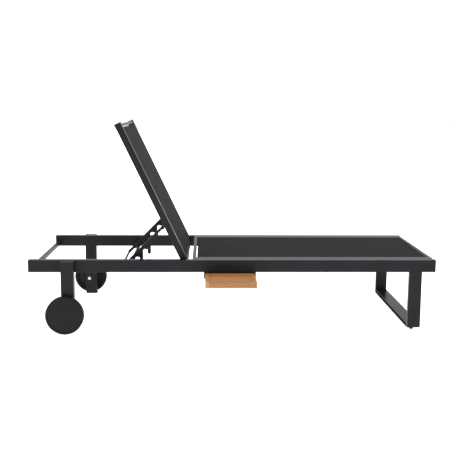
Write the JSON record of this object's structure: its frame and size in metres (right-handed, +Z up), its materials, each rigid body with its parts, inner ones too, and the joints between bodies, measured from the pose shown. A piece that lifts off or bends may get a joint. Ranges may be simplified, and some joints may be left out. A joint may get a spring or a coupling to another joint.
{
  "type": "reclining sun lounger",
  "caption": "Low sun lounger with a flat tube frame, sling seat, hinged backrest on notched prop plates, wheels at the head end and a teak tray sliding out under the seat.",
  "frame": {"origin": "centre of the whole object's box, at floor level, with the tray drawn out", "axes": "+X towards the foot end, +Y away from the side the tray slides out of, +Z up"},
  "size_m": [2, 1.024, 1.0174],
  "materials": {
    "frame_paint": "satin",
    "cap_plastic": "matte",
    "pad_rubber": "matte",
    "sling_mesh": "matte",
    "bearing_plastic": "satin",
    "bare_steel": "satin",
    "wheel_plastic": "satin",
    "tyre_rubber": "matte",
    "teak": "matte"
  },
  "bodies": {
    "frame": {"side_rail_right": "frame_paint", "side_rail_left": "frame_paint", "rail_end_caps": "cap_plastic", "head_bar": "frame_paint", "rest_pads": "pad_rubber", "rest_bar": "frame_paint", "head_leg_right": "frame_paint", "head_leg_left": "frame_paint", "head_leg_caps": "cap_plastic", "foot_leg_right": "frame_paint", "foot_leg_left": "frame_paint", "foot_leg_base": "frame_paint", "foot_glides": "pad_rubber", "seat_tube_right": "frame_paint", "seat_tube_left": "frame_paint", "seat_head_bar": "frame_paint", "seat_foot_bar": "frame_paint", "seat_crossbars": "frame_paint", "seat_sling": "sling_mesh", "seat_splines": "bearing_plastic", "hinge_pins": "bare_steel", "hinge_spacers": "bearing_plastic", "axle_right": "bare_steel", "axle_left": "bare_steel", "axle_clips": "bare_steel", "axle_spacers": "bearing_plastic", "tray_runner_head": "cap_plastic", "tray_runner_foot": "cap_plastic", "runner_screws": "bare_steel", "tray_stops": "pad_rubber"},
    "backrest": {"back_rail_right": "frame_paint", "back_rail_left": "frame_paint", "back_rail_caps": "cap_plastic", "back_top_bar": "frame_paint", "back_low_bar": "frame_paint", "back_sling": "sling_mesh", "back_splines": "bearing_plastic", "hinge_bushes": "bearing_plastic", "prop_pivot_rod": "frame_paint", "prop_collars": "cap_plastic"},
    "prop": {"prop_plate_right": "frame_paint", "prop_plate_left": "frame_paint", "prop_tie_rod": "frame_paint"},
    "wheel_right_unit": {"wheel_right": "wheel_plastic", "tyre_right": "tyre_rubber", "wheel_bush_right": "bearing_plastic", "wheel_cover_right": "wheel_plastic"},
    "wheel_left_unit": {"wheel_left": "wheel_plastic", "tyre_left": "tyre_rubber", "wheel_bush_left": "bearing_plastic", "wheel_cover_left": "wheel_plastic"},
    "tray": {"tray_base": "teak", "tray_divider": "teak", "tray_front": "teak", "tray_rear": "teak", "tray_side_head": "teak", "tray_side_foot": "teak", "tray_screws": "bare_steel"}
  },
  "joints": [
    {"name": "back_hinge", "type": "hinge", "parent": "frame", "child": "backrest", "pos_m": [-0.238, 0.054, 0.335], "axis": [0, -1, 0], "range_deg": [0, 64.4]},
    {"name": "prop_hinge", "type": "hinge", "parent": "backrest", "child": "prop", "pos_m": [-0.3255, 0.054, 0.51762], "axis": [0, 1, 0], "range_deg": [0, 108]},
    {"name": "wheel_spin_right", "type": "hinge", "parent": "frame", "child": "wheel_right_unit", "pos_m": [-0.816, -0.385, 0.0925], "axis": [0, 1, 0], "continuous": true},
    {"name": "wheel_spin_left", "type": "hinge", "parent": "frame", "child": "wheel_left_unit", "pos_m": [-0.816, 0.493, 0.0925], "axis": [0, 1, 0], "continuous": true},
    {"name": "tray_slide", "type": "slide", "parent": "frame", "child": "tray", "axis": [0, 1, 0], "range_m": [0, 0.185]}
  ],
  "couplings": [
    {"joint": "prop_hinge", "follows": "back_hinge", "ratio": 1.6568}
  ]
}
